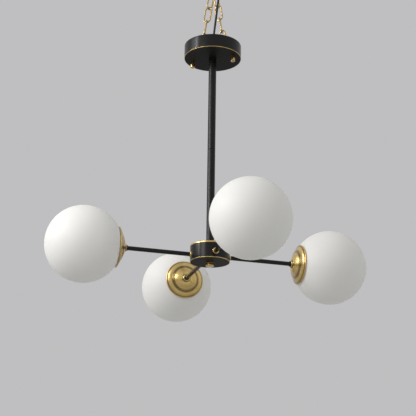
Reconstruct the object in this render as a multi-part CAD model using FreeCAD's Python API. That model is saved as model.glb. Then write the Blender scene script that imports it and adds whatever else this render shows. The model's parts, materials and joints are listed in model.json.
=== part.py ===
"""Branch chandelier: four opal globes on level arms round a drum hub, on a two-length rod under a
round canopy that hangs by a pair of chains from a ceiling hook.

Millimetres. The origin is the middle of the ceiling plate's upper face, +Z is up, and everything
hangs below. The four arms point along +X (right), +Y (back), -X (left) and -Y (front). The crossbar
in the canopy, the two chains and the hook share one upright plane, turned CHAIN_PLANE_DEG from +X.
"""

import FreeCAD, Part
import math
import os

V = FreeCAD.Vector
X_AXIS, Y_AXIS, Z_AXIS = V(1, 0, 0), V(0, 1, 0), V(0, 0, 1)

# ---- driving dimensions: lamps and arms ----
GLOBE_DIAMETER = 150.0
GLOBE_WALL = 2.0
GLOBE_MOUTH_RADIUS = 17.0      # the hole in the globe, which screws over the lampholder's collar
GLOBE_LIP_DEPTH = 9.0          # the glass lip that is turned into the globe
ARM_REACH = 254.0              # from the rod's axis to a globe's centre
ARM_RADIUS = 4.25
ARM_THREAD_RADIUS = 3.9
ARM_BORE_RADIUS = 3.0
ARM_COLLAR_RADIUS = 5.5        # the black shoulder that each arm ends in at its cup
CUP_RIM_RADIUS = 40.4
CUP_WALL = 1.2
LAMP_TRAVEL_CLEARANCE = 0.1    # between a lamp's base and its socket, and a globe and its collar
ARM_DIRECTIONS = {"right": 0, "back": 90, "left": 180, "front": 270}

# ---- driving dimensions: hub, rod and canopy ----
HUB_RADIUS = 39.5
HUB_HEIGHT = 34.0
HUB_WALL = 2.0
HUB_LID_THICKNESS = 3.9
ARM_BELOW_HUB_MIDDLE = 4.2     # the arms leave the drum a little below its mid-height
TRIM_THICKNESS = 1.6           # the thin brass rings at the lower edge of the hub and the canopy
TRIM_DEPTH = 0.6               # how far they are let into the black wall
ROD_RADIUS = 8.0
ROD_LENGTH = 205.0             # each of the two lengths
ROD_BORE_RADIUS = 6.6
THREAD_RADIUS = 4.95           # the hollow threaded nipples that join rod, hub and canopy
THREAD_HOLE_RADIUS = 5.0
NIPPLE_BORE_RADIUS = 3.5
CANOPY_RADIUS = 59.5
CANOPY_HEIGHT = 28.5
CANOPY_WALL = 1.2
STUD_RADIUS = 2.0
STUD_OFFSET = 45.0             # from the rod's axis to each canopy nut

# ---- driving dimensions: suspension ----
CHAIN_PLANE_DEG = -38.0
LINK_WIRE_RADIUS = 1.7
LINK_BEND_RADIUS = 7.3         # to the middle of the wire
LINK_LENGTH = 34.85            # between the middles of a link's two end bends
LINK_GAPS = [0.6, 0.85, 0.4, 0.35, 0.4, 0.3]   # hook to link 1, link to link, link 5 to its eye
LINK_TWISTS = {"left": [12, -18, -4, 22, -12], "right": [12, -18, -14, 14, -18]}
TOP_LINK_SPREAD = 2.3          # the two top links hang side by side, each this far off the plane
CHAIN_HALF_SPAN = 25.0         # from the rod's axis to each chain's eye on the crossbar
EYE_RADIUS = 5.3
EYE_ABOVE_CANOPY = 2.8         # the middle of the eye's top wire, above the canopy's top edge
HOOK_WIRE_RADIUS = 2.25
HOOK_BOWL_RADIUS = 11.25       # to the middle of the wire
HOOK_NECK_RADIUS = 5.0
HOOK_TIP_DEG = 155.0           # where the open end stops, round the bowl from its right-hand side
HOOK_DROP = 45.0               # from the ceiling to the middle of the wire under the load
PLATE_RADIUS = 48.0
PLATE_THICKNESS = 5.0
PLATE_SCREW_OFFSET = 36.0
PLATE_SCREW_HOLE_RADIUS = 2.6
CORD_RADIUS = 2.25
CORD_PLANE_OFFSET = -13.0      # how far in front of the chains' plane the cord runs
CORD_FOOT = 2.6                # along the chains' plane, where the cord leaves the terminal block
CORD_HEAD = 24.8               # along the chains' plane, where it enters the ceiling gland

# ---- levels that follow from them ----
LINK_PITCHES = [HOOK_WIRE_RADIUS + LINK_WIRE_RADIUS] + [2 * LINK_WIRE_RADIUS] * 5


def chain_stations():
    """How far each link's two end bends lie below the hook's wire, along the chain, and the eye's."""
    stations, hold = [], 0.0
    for pitch, gap in zip(LINK_PITCHES, LINK_GAPS):
        top = hold - pitch - gap
        stations.append((top, top + LINK_LENGTH))
        hold = top + LINK_LENGTH
    eye = stations[5][0]
    return stations[:5], eye


LINKS, EYE_STATION = chain_stations()
CHAIN_LEAN = math.asin(CHAIN_HALF_SPAN / EYE_STATION)
HOOK_Z = -HOOK_DROP
EYE_Z = HOOK_Z - EYE_STATION * math.cos(CHAIN_LEAN)
CANOPY_TOP_Z = EYE_Z - EYE_ABOVE_CANOPY
CANOPY_Z = CANOPY_TOP_Z - CANOPY_HEIGHT
CROSSBAR_Z = CANOPY_Z + 13.5
CROSSBAR_THICKNESS = 2.5
CROSSBAR_TOP_Z = CROSSBAR_Z + CROSSBAR_THICKNESS
TERMINAL_TOP_Z = CANOPY_Z + 10.0
SEAM_Z = CANOPY_Z - ROD_LENGTH
HUB_TOP_Z = SEAM_Z - ROD_LENGTH
ARM_Z = HUB_TOP_Z - HUB_HEIGHT / 2 - ARM_BELOW_HUB_MIDDLE
HUB_BOTTOM_Z = HUB_TOP_Z - HUB_HEIGHT
GLAND_TIP_Z = -20.0


# ---- shape helpers ----

def outline_face(outline, place):
    """A flat face inside an outline. Each step is a point, or a pair: a point on an arc and its end."""
    edges, last = [], outline[0]
    for step in outline[1:] + [outline[0]]:
        arc = isinstance(step[0], tuple)
        end = step[1] if arc else step
        if arc:
            edges.append(Part.Arc(place(last), place(step[0]), place(end)).toShape())
        elif last != end:
            edges.append(Part.LineSegment(place(last), place(end)).toShape())
        last = end
    return Part.Face(Part.Wire(edges))


def turned_upright(outline):
    """A turned solid about the Z axis, from (height, radius) steps."""
    face = outline_face(outline, lambda p: V(p[1], 0, p[0]))
    return face.revolve(V(0, 0, 0), Z_AXIS, 360)


def turned_along_arm(outline):
    """A turned solid about the X axis, from (distance, radius) steps."""
    face = outline_face(outline, lambda p: V(p[0], 0, p[1]))
    return face.revolve(V(0, 0, 0), X_AXIS, 360)


def disc(radius, low, high, hole=0.0):
    """An upright cylinder, or a ring if it has a hole."""
    solid = Part.makeCylinder(radius, high - low, V(0, 0, low))
    if hole:
        solid = solid.cut(Part.makeCylinder(hole, high - low, V(0, 0, low)))
    return solid


def hex_nut(across_flats, low, high, hole):
    """An upright hexagonal nut with its corners turned down."""
    corner = across_flats / math.sqrt(3)
    points = [V(corner * math.cos(math.radians(60 * i)), corner * math.sin(math.radians(60 * i)), low)
              for i in range(7)]
    prism = Part.Face(Part.makePolygon(points)).extrude(V(0, 0, high - low))
    bevel = 0.12 * across_flats
    cone = turned_upright([(low, 0), (low, corner - bevel), (low + bevel / 2, corner),
                           (high - bevel / 2, corner), (high, corner - bevel), (high, 0)])
    return prism.common(cone).cut(disc(hole, low, high))


def wire_along(edges, radius):
    """A round wire along a path of lines and arcs."""
    path = Part.Wire(edges)
    start = edges[0].valueAt(edges[0].FirstParameter)
    heading = edges[0].tangentAt(edges[0].FirstParameter)
    section = Part.Wire(Part.Circle(start, heading, radius).toShape())
    return path.makePipeShell([section], True, False)


def in_chain_plane(solid):
    """From the chains' own axes (X along the crossbar) to the object's."""
    turned = solid.copy()
    turned.rotate(V(0, 0, 0), Z_AXIS, CHAIN_PLANE_DEG)
    return turned


def on_arm(solid, direction):
    """From an arm that points along +X at height 0 to its own place."""
    placed = solid.copy()
    placed.rotate(V(0, 0, 0), Z_AXIS, ARM_DIRECTIONS[direction])
    placed.translate(V(0, 0, ARM_Z))
    return placed


def save(node, *solids):
    """Writes one sub-part, whose pieces stay separate solids."""
    for solid in solids:
        if not solid.isValid() or solid.Volume <= 0:
            raise ValueError("the solid of " + node + " is not sound")
    shape = solids[0] if len(solids) == 1 else Part.makeCompound(list(solids))
    shape.exportStep("parts/" + node + ".step")


# ---- ceiling fitting ----

def ceiling_plate():
    plate = turned_upright([(0, 0), (0, PLATE_RADIUS), (-4.0, PLATE_RADIUS),
                            ((-4.7, PLATE_RADIUS - 0.3), (-PLATE_THICKNESS, PLATE_RADIUS - 1.0)),
                            (-PLATE_THICKNESS, 11.0), (-12.0, 11.0), (-13.0, 10.0), (-13.0, 2.3),
                            (-3.0, 2.3), (-3.0, 0)])
    for side in (-1, 1):
        hole = disc(PLATE_SCREW_HOLE_RADIUS, -PLATE_THICKNESS, 0)
        hole.translate(V(side * PLATE_SCREW_OFFSET, 0, 0))
        plate = plate.cut(hole)
    gland_hole = disc(4.0, -PLATE_THICKNESS, 0)
    gland_hole.translate(V(CORD_HEAD, CORD_PLANE_OFFSET, 0))
    return plate.cut(in_chain_plane(gland_hole))


def ceiling_gland():
    gland = turned_upright([(-0.3, 0), (-0.3, 3.95), (-PLATE_THICKNESS, 3.95),
                            (-PLATE_THICKNESS, 7.0), (-10.5, 7.0), ((-11.6, 6.6), (-12.0, 5.6)),
                            (GLAND_TIP_Z, 3.3), (GLAND_TIP_Z, 0)])
    gland.translate(V(CORD_HEAD, CORD_PLANE_OFFSET, 0))
    return in_chain_plane(gland)


def hook_path():
    """The hook's wire from its threaded end, in its own upright plane, square to the chains'. The
    neck turns off the axis and the bowl turns back round it, so the load hangs under the shank."""
    bowl = V(0, 0, HOOK_Z + HOOK_BOWL_RADIUS)
    reach = HOOK_NECK_RADIUS + HOOK_BOWL_RADIUS
    neck = bowl + V(0, HOOK_NECK_RADIUS, math.sqrt(reach ** 2 - HOOK_NECK_RADIUS ** 2))
    meet_angle = math.degrees(math.atan2(neck.z - bowl.z, neck.y))

    def on_circle(centre, radius, degrees):
        angle = math.radians(degrees)
        return centre + V(0, math.cos(angle), math.sin(angle)) * radius

    def on_bowl(degrees):
        return on_circle(bowl, HOOK_BOWL_RADIUS, degrees)

    shank = V(0, 0, neck.z)
    neck_mid = on_circle(neck, HOOK_NECK_RADIUS, 180 + meet_angle / 2)
    meet, low, tip = on_bowl(meet_angle), on_bowl(-90), on_bowl(HOOK_TIP_DEG - 360)
    return [Part.LineSegment(V(0, 0, -3.2), shank).toShape(),
            Part.Arc(shank, neck_mid, meet).toShape(),
            Part.Arc(meet, on_bowl(meet_angle / 2 - 45), low).toShape(),
            Part.Arc(low, on_bowl((HOOK_TIP_DEG - 450) / 2), tip).toShape()]


# ---- chains ----

def plain_link():
    """One link, upright in the XZ plane with its middle at the origin."""
    half = LINK_LENGTH / 2 - LINK_BEND_RADIUS
    bend = LINK_BEND_RADIUS
    return wire_along([Part.LineSegment(V(bend, 0, -half), V(bend, 0, half)).toShape(),
                       Part.Arc(V(bend, 0, half), V(0, 0, half + bend), V(-bend, 0, half)).toShape(),
                       Part.LineSegment(V(-bend, 0, half), V(-bend, 0, -half)).toShape(),
                       Part.Arc(V(-bend, 0, -half), V(0, 0, -half - bend), V(bend, 0, -half)).toShape()],
                      LINK_WIRE_RADIUS)


def chain_link(side, number):
    """Link 1 hangs on the hook and link 5 holds the crossbar's eye. Odd links lie in the chains'
    plane and even ones across it, each with a slight twist, as loose chain hangs."""
    hand = {"left": -1, "right": 1}[side]
    top, bottom = LINKS[number - 1]
    spread = {1: (-hand * TOP_LINK_SPREAD,) * 2, 2: (-hand * TOP_LINK_SPREAD, 0.0)}
    top_offset, bottom_offset = spread.get(number, (0.0, 0.0))
    link = plain_link()
    link.rotate(V(0, 0, 0), Z_AXIS, LINK_TWISTS[side][number - 1] + (90 if number % 2 == 0 else 0))
    link.rotate(V(0, 0, 0), X_AXIS, -math.degrees(math.atan2(top_offset - bottom_offset, LINK_LENGTH)))
    link.rotate(V(0, 0, 0), Y_AXIS, -hand * math.degrees(CHAIN_LEAN))
    middle = (top + bottom) / 2
    link.translate(V(hand * middle * math.sin(CHAIN_LEAN), (top_offset + bottom_offset) / 2,
                     HOOK_Z - middle * math.cos(CHAIN_LEAN)))
    return in_chain_plane(link)


# ---- canopy ----

def chain_eye(side):
    """A closed eye on a riveted stem, with the ring square to the lowest link."""
    hand = {"left": -1, "right": 1}[side]
    ring_z = EYE_Z - EYE_RADIUS
    ring = Part.makeTorus(EYE_RADIUS, LINK_WIRE_RADIUS, V(0, 0, 0), X_AXIS)
    ring.rotate(V(0, 0, 0), Z_AXIS, LINK_TWISTS[side][4])
    ring.translate(V(0, 0, ring_z))
    stem_top = ring_z - EYE_RADIUS
    stem = turned_upright([(CROSSBAR_Z - 2.0, 0), (CROSSBAR_Z - 2.0, 3.2), (CROSSBAR_Z, 4.0),
                           (CROSSBAR_Z, 2.5), (CROSSBAR_TOP_Z, 2.5), (CROSSBAR_TOP_Z, 4.5),
                           (CROSSBAR_TOP_Z + 1.6, 4.5), (CROSSBAR_TOP_Z + 2.6, 2.4),
                           (stem_top, 2.0), (stem_top, 0)])
    eye = ring.fuse(stem)
    eye.translate(V(hand * CHAIN_HALF_SPAN, 0, 0))
    return in_chain_plane(eye)


def crossbar():
    half_length, half_width = 54.0, 7.0
    blank = Part.makeBox(2 * (half_length - half_width), 2 * half_width, CROSSBAR_THICKNESS,
                         V(half_width - half_length, -half_width, CROSSBAR_Z))
    for hand in (-1, 1):
        end = disc(half_width, CROSSBAR_Z, CROSSBAR_TOP_Z)
        end.translate(V(hand * (half_length - half_width), 0, 0))
        blank = blank.fuse(end)
    bar = blank.removeSplitter()
    holes = [(0.0, 5.5)]
    holes += [(hand * CHAIN_HALF_SPAN, 2.5) for hand in (-1, 1)]
    holes += [(hand * STUD_OFFSET, STUD_RADIUS) for hand in (-1, 1)]
    for offset, radius in holes:
        hole = disc(radius, CROSSBAR_Z, CROSSBAR_TOP_Z)
        hole.translate(V(offset, 0, 0))
        bar = bar.cut(hole)
    return in_chain_plane(bar)


def crossbar_stud(hand):
    """A pan-head screw down through the crossbar and the canopy's floor."""
    stud = turned_upright([(CANOPY_Z - 9.0, 0), (CANOPY_Z - 9.0, 1.6), (CANOPY_Z - 8.6, STUD_RADIUS),
                           (CROSSBAR_TOP_Z, STUD_RADIUS), (CROSSBAR_TOP_Z, 4.0),
                           ((CROSSBAR_TOP_Z + 1.7, 3.4), (CROSSBAR_TOP_Z + 2.4, 1.8)),
                           (CROSSBAR_TOP_Z + 2.4, 0)])
    stud.translate(V(hand * STUD_OFFSET, 0, 0))
    return in_chain_plane(stud)


def canopy_nut(hand):
    """A plain round thumb nut: a neck, then a wider knob with a rounded end."""
    top = CANOPY_Z - 0.05
    nut = turned_upright([(top, STUD_RADIUS + 0.08), (top, 3.7), (top - 4.4, 3.7),
                          ((top - 4.7, 4.4), (top - 5.4, 4.7)), (top - 11.2, 4.7),
                          ((top - 12.5, 4.1), (top - 13.0, 2.6)), (top - 13.0, 0),
                          (top - 9.6, 0), (top - 9.6, STUD_RADIUS + 0.08)])
    nut.translate(V(hand * STUD_OFFSET, 0, 0))
    return in_chain_plane(nut)


def canopy_shell():
    """A shallow round box, open at the top, with a rebate for the brass ring at its lower edge."""
    rebate_radius = CANOPY_RADIUS - TRIM_DEPTH - 0.1
    inner = CANOPY_RADIUS - CANOPY_WALL
    floor = CANOPY_Z + CANOPY_WALL
    shell = turned_upright([(CANOPY_Z, THREAD_HOLE_RADIUS), (CANOPY_Z, rebate_radius),
                            (CANOPY_Z + TRIM_THICKNESS, rebate_radius),
                            (CANOPY_Z + TRIM_THICKNESS, CANOPY_RADIUS),
                            (CANOPY_TOP_Z, CANOPY_RADIUS), (CANOPY_TOP_Z, inner),
                            (CANOPY_Z + 4.2, inner),
                            ((floor + 0.7, inner - 0.7), (floor, inner - 2.4)),
                            (floor, THREAD_HOLE_RADIUS)])
    for hand in (-1, 1):
        hole = disc(STUD_RADIUS + 0.2, CANOPY_Z, floor)
        hole.translate(V(hand * STUD_OFFSET, 0, 0))
        shell = shell.cut(in_chain_plane(hole))
    return shell


def trim_ring(radius, low, proud):
    """A thin brass ring with a rounded edge that stands a little proud of the black wall."""
    high, inner = low + TRIM_THICKNESS, radius - TRIM_DEPTH
    return turned_upright([(low, inner), (low, radius - 0.4),
                           ((low + TRIM_THICKNESS / 2, radius + proud), (high, radius - 0.4)),
                           (high, inner)])


def terminal_block():
    """A moulded connector block on the canopy's floor, with three screw towers."""
    length, width = 34.0, 14.0
    low = CANOPY_Z + CANOPY_WALL
    body = Part.makeBox(length, width, TERMINAL_TOP_Z - low, V(-14.0, -23.6, low))
    body = body.makeFillet(1.2, [e for e in body.Edges if abs(e.tangentAt(e.FirstParameter).z) > 0.9])
    for place in (-7.0, 3.0, 13.0):
        tower = Part.makeCylinder(2.8, 2.4, V(place, -19.4, TERMINAL_TOP_Z))
        slot = Part.makeBox(4.4, 0.8, 0.8, V(place - 2.2, -19.8, TERMINAL_TOP_Z + 1.6))
        body = body.fuse(tower.cut(slot))
    return in_chain_plane(body)


# ---- rod and hub ----

def rod_length(low):
    """One tube length. Its ends are bushed down to the nipples' thread and turned off a little."""
    high, bush, edge = low + ROD_LENGTH, 18.0, 0.5
    return turned_upright([(low, THREAD_HOLE_RADIUS), (low, ROD_RADIUS - edge), (low + edge, ROD_RADIUS),
                           (high - edge, ROD_RADIUS), (high, ROD_RADIUS - edge),
                           (high, THREAD_HOLE_RADIUS), (high - bush, THREAD_HOLE_RADIUS),
                           (high - bush, ROD_BORE_RADIUS), (low + bush, ROD_BORE_RADIUS),
                           (low + bush, THREAD_HOLE_RADIUS)])


def hub_lid():
    """The thick brass lid, whose edge is the bright band round the hub's top."""
    low = HUB_TOP_Z - HUB_LID_THICKNESS
    edge, spigot = HUB_RADIUS + 0.7, HUB_RADIUS - HUB_WALL - 0.05
    return turned_upright([(HUB_TOP_Z, THREAD_HOLE_RADIUS), (HUB_TOP_Z, edge - 1.0),
                           ((HUB_TOP_Z - 0.3, edge - 0.3), (HUB_TOP_Z - 1.0, edge)),
                           (low + 0.5, edge), (low, edge - 0.5), (low, spigot), (low - 2.5, spigot),
                           (low - 2.5, spigot - 1.8), (low, spigot - 1.8), (low, THREAD_HOLE_RADIUS)])


def hub_body():
    """The black drum wall, with a hole for each arm."""
    drum = disc(HUB_RADIUS, HUB_BOTTOM_Z + TRIM_THICKNESS, HUB_TOP_Z - HUB_LID_THICKNESS,
                HUB_RADIUS - HUB_WALL)
    for direction in ARM_DIRECTIONS:
        hole = Part.makeCylinder(ARM_THREAD_RADIUS, 6.0, V(HUB_RADIUS - 4.0, 0, 0), X_AXIS)
        drum = drum.cut(on_arm(hole, direction))
    return drum


def hub_base_plate():
    """The black plate under the drum, with a flange that seats inside the wall."""
    low, face = HUB_BOTTOM_Z + 0.2, HUB_RADIUS - TRIM_DEPTH - 0.1
    flange = HUB_RADIUS - HUB_WALL - 0.1
    seat = HUB_BOTTOM_Z + TRIM_THICKNESS
    return turned_upright([(low, THREAD_HOLE_RADIUS), (low, face - 0.3), (low + 0.3, face), (seat, face),
                           (seat, flange), (seat + 1.4, flange), (seat + 1.4, THREAD_HOLE_RADIUS)])


def hub_finial():
    """The turned brass end nut that holds the base plate up on the centre nipple."""
    top = HUB_BOTTOM_Z + 0.15
    return turned_upright([(top, THREAD_HOLE_RADIUS + 0.02), (top, 7.4), (top - 2.6, 7.4),
                           (top - 2.9, 8.1), (top - 8.1, 8.2), ((top - 8.9, 7.9), (top - 9.2, 7.1)),
                           (top - 9.2, 0), (top - 7.6, 0), (top - 7.6, THREAD_HOLE_RADIUS + 0.02)])


# ---- arms, cups, lamps and globes: each is made on an arm along +X, then turned to its place ----

def from_globe(outline):
    """Steps given as (distance from the globe's centre towards the hub, radius), on the arm's axis."""
    def move(point):
        return (ARM_REACH - point[0], point[1])
    return [(move(s[0]), move(s[1])) if isinstance(s[0], tuple) else move(s) for s in outline]


CUP_BACK = 84.3                # the cup's collar ends here, measured from the globe's centre
CUP_SEAT = 80.5                # the cup's flat inside, on which the lampholder's neck bears
HOLDER_FLOOR = 73.5
ARM_TIP = 76.5


def arm_tube():
    """The black tube, with a reduced thread at both ends and a shoulder that bears on the cup."""
    root, shoulder = HUB_RADIUS - 8.5, HUB_RADIUS + 2.5
    cup, tip = ARM_REACH - CUP_BACK, ARM_REACH - ARM_TIP
    return turned_along_arm([(root, ARM_BORE_RADIUS), (root, ARM_THREAD_RADIUS),
                             (shoulder, ARM_THREAD_RADIUS), (shoulder, ARM_RADIUS),
                             (cup - 2.6, ARM_RADIUS), (cup - 2.6, ARM_COLLAR_RADIUS - 0.4),
                             (cup - 2.2, ARM_COLLAR_RADIUS), (cup, ARM_COLLAR_RADIUS),
                             (cup, ARM_THREAD_RADIUS), (tip, ARM_THREAD_RADIUS),
                             (tip, ARM_BORE_RADIUS)])


def arm_collar():
    """The brass washer between the drum and the arm's shoulder, dished to the drum's curve."""
    shoulder = HUB_RADIUS + 2.5
    blank = turned_along_arm([(HUB_RADIUS - 1.5, ARM_THREAD_RADIUS), (HUB_RADIUS - 1.5, 6.4),
                              (shoulder - 0.6, 6.4), (shoulder, 5.8), (shoulder, ARM_THREAD_RADIUS)])
    return blank.cut(disc(HUB_RADIUS, -10.0, 10.0))


def arm_locknut():
    """The hexagonal nut inside the drum, faced off to the wall's curve."""
    nut = hex_nut(12.0, 0, 4.5, ARM_THREAD_RADIUS)
    nut.rotate(V(0, 0, 0), Y_AXIS, 90)
    nut.translate(V(HUB_RADIUS - HUB_WALL - 5.2, 0, 0))
    return nut


def cup():
    """The spun brass cup: rolled rim, hollow-curved band, a step, a dome and a small collar."""
    bead = (66.1, CUP_RIM_RADIUS - 1.4)
    outline = [(CUP_BACK, ARM_THREAD_RADIUS), (CUP_BACK, 6.6), ((84.0, 7.4), (83.2, 7.7)),
               (81.9, 7.9), ((79.3, 16.6), (74.9, 24.9)), (74.1, 26.3),
               ((72.6, 28.4), (71.8, 31.0)), ((70.5, 34.8), (67.9, 37.7)),
               (bead[0] + 1.24, bead[1] - 0.64),
               ((bead[0] + 0.46, bead[1] + 1.32), (bead[0] - 1.4, bead[1])),
               (65.8, 37.6), (66.6, 37.0),
               ((69.0, 34.3), (71.8 - CUP_WALL, 30.5)), ((71.3, 27.7), (72.9, 25.6)),
               (73.7, 24.2), ((78.0, 16.1), (CUP_SEAT, 8.2)), (CUP_SEAT, ARM_THREAD_RADIUS)]
    return turned_along_arm(from_globe(outline))


def lampholder():
    """The socket body: a neck on the arm's thread, a flange and the collar that the globe screws on."""
    collar = GLOBE_MOUTH_RADIUS - LAMP_TRAVEL_CLEARANCE
    socket = 8.1
    outline = [(64.5, socket), (64.5, collar - 0.8), (65.3, collar), (74.3, collar), (74.3, 18.5),
               (76.3, 18.5), (76.3, 6.5), (CUP_SEAT, 6.5), (CUP_SEAT, ARM_THREAD_RADIUS),
               (ARM_TIP - 0.2, ARM_THREAD_RADIUS), (ARM_TIP - 0.2, 0), (HOLDER_FLOOR, 0),
               (HOLDER_FLOOR, socket)]
    return turned_along_arm(from_globe(outline))


def globe_gasket():
    """The soft washer on the lampholder's flange that the glass closes on."""
    outline = [(73.15, 17.2), (73.15, 18.4), (74.3, 18.4), (74.3, 17.2)]
    return turned_along_arm(from_globe(outline))


def lamp():
    """A small capsule lamp that pushes straight into the socket."""
    glass, round_end, slant = 7.2, 30.0, math.sqrt(0.5)
    outline = [(HOLDER_FLOOR - 0.3, 0), (HOLDER_FLOOR - 0.3, 8.0), (60.0, 8.0), (57.5, glass),
               (round_end, glass),
               ((round_end - glass * slant, glass * slant), (round_end - glass, 0))]
    return turned_along_arm(from_globe(outline))


def globe():
    """A blown opal ball with its lip turned in at the mouth."""
    outer = GLOBE_DIAMETER / 2
    inner = outer - GLOBE_WALL
    lip = GLOBE_MOUTH_RADIUS + GLOBE_WALL
    mouth = math.sqrt(outer ** 2 - GLOBE_MOUTH_RADIUS ** 2)
    lip_root = math.sqrt(inner ** 2 - lip ** 2)
    slant = math.sqrt(0.5)
    outline = [(-outer, 0), ((-outer * slant, outer * slant), (0, outer)),
               ((outer * slant, outer * slant), (mouth, GLOBE_MOUTH_RADIUS)),
               (mouth - GLOBE_LIP_DEPTH, GLOBE_MOUTH_RADIUS), (mouth - GLOBE_LIP_DEPTH, lip),
               (lip_root, lip), ((inner * slant, inner * slant), (0, inner)),
               ((-inner * slant, inner * slant), (-inner, 0))]
    return turned_along_arm(from_globe(outline))


def arm_wire():
    """The twin lead inside an arm, from the hub to the lampholder."""
    return Part.makeCylinder(2.2, 143.0, V(HUB_RADIUS - 6.0, 0, 0), X_AXIS)


# ---- supply cord ----

def supply_cord():
    """The cord between the terminal block and the ceiling gland. It is pulled straight, so its path
    is one straight run."""
    foot = V(CORD_FOOT, CORD_PLANE_OFFSET, TERMINAL_TOP_Z + 0.3)
    head = V(CORD_HEAD, CORD_PLANE_OFFSET, GLAND_TIP_Z - 0.3)
    cord = wire_along([Part.LineSegment(foot, head).toShape()], CORD_RADIUS)
    run = (head - foot).Length
    print("supply cord: one straight run of %.1f mm, no bend" % run)
    print("volume %.1f, section times length %.1f" % (cord.Volume, math.pi * CORD_RADIUS ** 2 * run))
    return in_chain_plane(cord)


def build():
    os.makedirs("parts", exist_ok=True)
    save("ceiling_plate", ceiling_plate())
    save("ceiling_hook", in_chain_plane(wire_along(hook_path(), HOOK_WIRE_RADIUS)))
    save("hook_locknut", hex_nut(10.0, -17.0, -13.0, HOOK_WIRE_RADIUS + 0.05))
    save("ceiling_gland", ceiling_gland())
    for side in ("left", "right"):
        for number in range(1, 6):
            save(side + "_chain_link_" + str(number), chain_link(side, number))
    save("crossbar", crossbar())
    save("chain_eyes", *[chain_eye(side) for side in ("left", "right")])
    save("crossbar_studs", *[crossbar_stud(hand) for hand in (-1, 1)])
    save("canopy_nut_left", canopy_nut(-1))
    save("canopy_nut_right", canopy_nut(1))
    save("canopy_shell", canopy_shell())
    save("canopy_trim_ring", trim_ring(CANOPY_RADIUS, CANOPY_Z, 0.3))
    save("terminal_block", terminal_block())
    save("canopy_nipple", disc(THREAD_RADIUS, CANOPY_Z - 14.0, CANOPY_Z + 8.0, NIPPLE_BORE_RADIUS))
    canopy_floor = CANOPY_Z + CANOPY_WALL
    save("canopy_locknut", hex_nut(14.0, canopy_floor, canopy_floor + 4.0, THREAD_HOLE_RADIUS))
    save("upper_rod", rod_length(SEAM_Z))
    save("lower_rod", rod_length(HUB_TOP_Z))
    save("rod_coupler", disc(THREAD_RADIUS, SEAM_Z - 14.0, SEAM_Z + 14.0, NIPPLE_BORE_RADIUS))
    save("rod_cable", disc(2.6, ARM_Z, CANOPY_Z + 9.0))
    save("hub_lid", hub_lid())
    save("hub_body", hub_body())
    save("hub_trim_ring", trim_ring(HUB_RADIUS, HUB_BOTTOM_Z, 0.25))
    save("hub_base_plate", hub_base_plate())
    save("hub_nipple", disc(THREAD_RADIUS, HUB_BOTTOM_Z - 7.0, HUB_TOP_Z + 14.0, NIPPLE_BORE_RADIUS))
    lid_under, plate_top = HUB_TOP_Z - HUB_LID_THICKNESS, HUB_BOTTOM_Z + TRIM_THICKNESS + 1.4
    save("hub_locknuts", hex_nut(14.0, lid_under - 4.0, lid_under, THREAD_HOLE_RADIUS),
         hex_nut(14.0, plate_top, plate_top + 4.0, THREAD_HOLE_RADIUS))
    save("hub_finial", hub_finial())
    save("arm_collars", *[on_arm(arm_collar(), direction) for direction in ARM_DIRECTIONS])
    save("arm_locknuts", *[on_arm(arm_locknut(), direction) for direction in ARM_DIRECTIONS])
    save("arm_wires", *[on_arm(arm_wire(), direction) for direction in ARM_DIRECTIONS])
    save("globe_gaskets", *[on_arm(globe_gasket(), direction) for direction in ARM_DIRECTIONS])
    for direction in ARM_DIRECTIONS:
        save("arm_" + direction, on_arm(arm_tube(), direction))
        save("cup_" + direction, on_arm(cup(), direction))
        save("lampholder_" + direction, on_arm(lampholder(), direction))
        save("lamp_" + direction, on_arm(lamp(), direction))
        save("globe_" + direction, on_arm(globe(), direction))
    save("supply_cord", supply_cord())
    print("arm plane at z = %.2f, canopy from %.2f to %.2f" % (ARM_Z, CANOPY_Z, CANOPY_TOP_Z))
    print("chain lean %.2f degrees" % math.degrees(CHAIN_LEAN))


build()
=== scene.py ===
"""The looks of a branch chandelier: opal globes in spun brass cups on level arms round a drum hub,
on a two-length rod under a round canopy that hangs by a pair of brass chains from a ceiling hook.

Lengths are in millimetres unless a name says otherwise, and become metres where a mesh is made.
The frame's origin is the middle of the ceiling plate's upper face.
"""

import json
import math

import bmesh
import bpy
import numpy as np
from bpy.props import FloatProperty, FloatVectorProperty, PointerProperty
from mathutils import Matrix, Vector


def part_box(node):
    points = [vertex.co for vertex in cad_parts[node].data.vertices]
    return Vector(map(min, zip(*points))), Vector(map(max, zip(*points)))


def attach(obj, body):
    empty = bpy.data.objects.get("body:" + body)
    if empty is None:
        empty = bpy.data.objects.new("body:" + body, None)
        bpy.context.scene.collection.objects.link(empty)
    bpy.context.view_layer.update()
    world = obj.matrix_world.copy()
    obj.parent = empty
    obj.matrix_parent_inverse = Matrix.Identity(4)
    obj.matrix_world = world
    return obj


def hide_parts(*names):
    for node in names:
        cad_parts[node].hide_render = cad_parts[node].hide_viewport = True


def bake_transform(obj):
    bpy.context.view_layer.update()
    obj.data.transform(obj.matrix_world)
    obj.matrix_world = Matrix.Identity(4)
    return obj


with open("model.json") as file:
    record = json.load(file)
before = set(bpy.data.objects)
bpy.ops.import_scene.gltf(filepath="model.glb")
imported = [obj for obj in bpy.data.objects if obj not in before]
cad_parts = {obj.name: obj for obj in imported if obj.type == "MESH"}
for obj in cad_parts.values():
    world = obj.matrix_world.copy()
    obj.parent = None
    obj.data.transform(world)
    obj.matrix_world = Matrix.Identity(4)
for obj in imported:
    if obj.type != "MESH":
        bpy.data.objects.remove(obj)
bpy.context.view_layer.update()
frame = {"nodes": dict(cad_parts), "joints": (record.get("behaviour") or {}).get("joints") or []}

bl_info = {
    "name": "Branch Chandelier",
    "version": (1, 0, 0),
    "blender": (4, 5, 0),
    "location": "View3D > Sidebar > Chandelier",
    "description": "Builds the finished pieces of a branch chandelier over its packed frame",
    "category": "Object",
}

MM = 0.001


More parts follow.
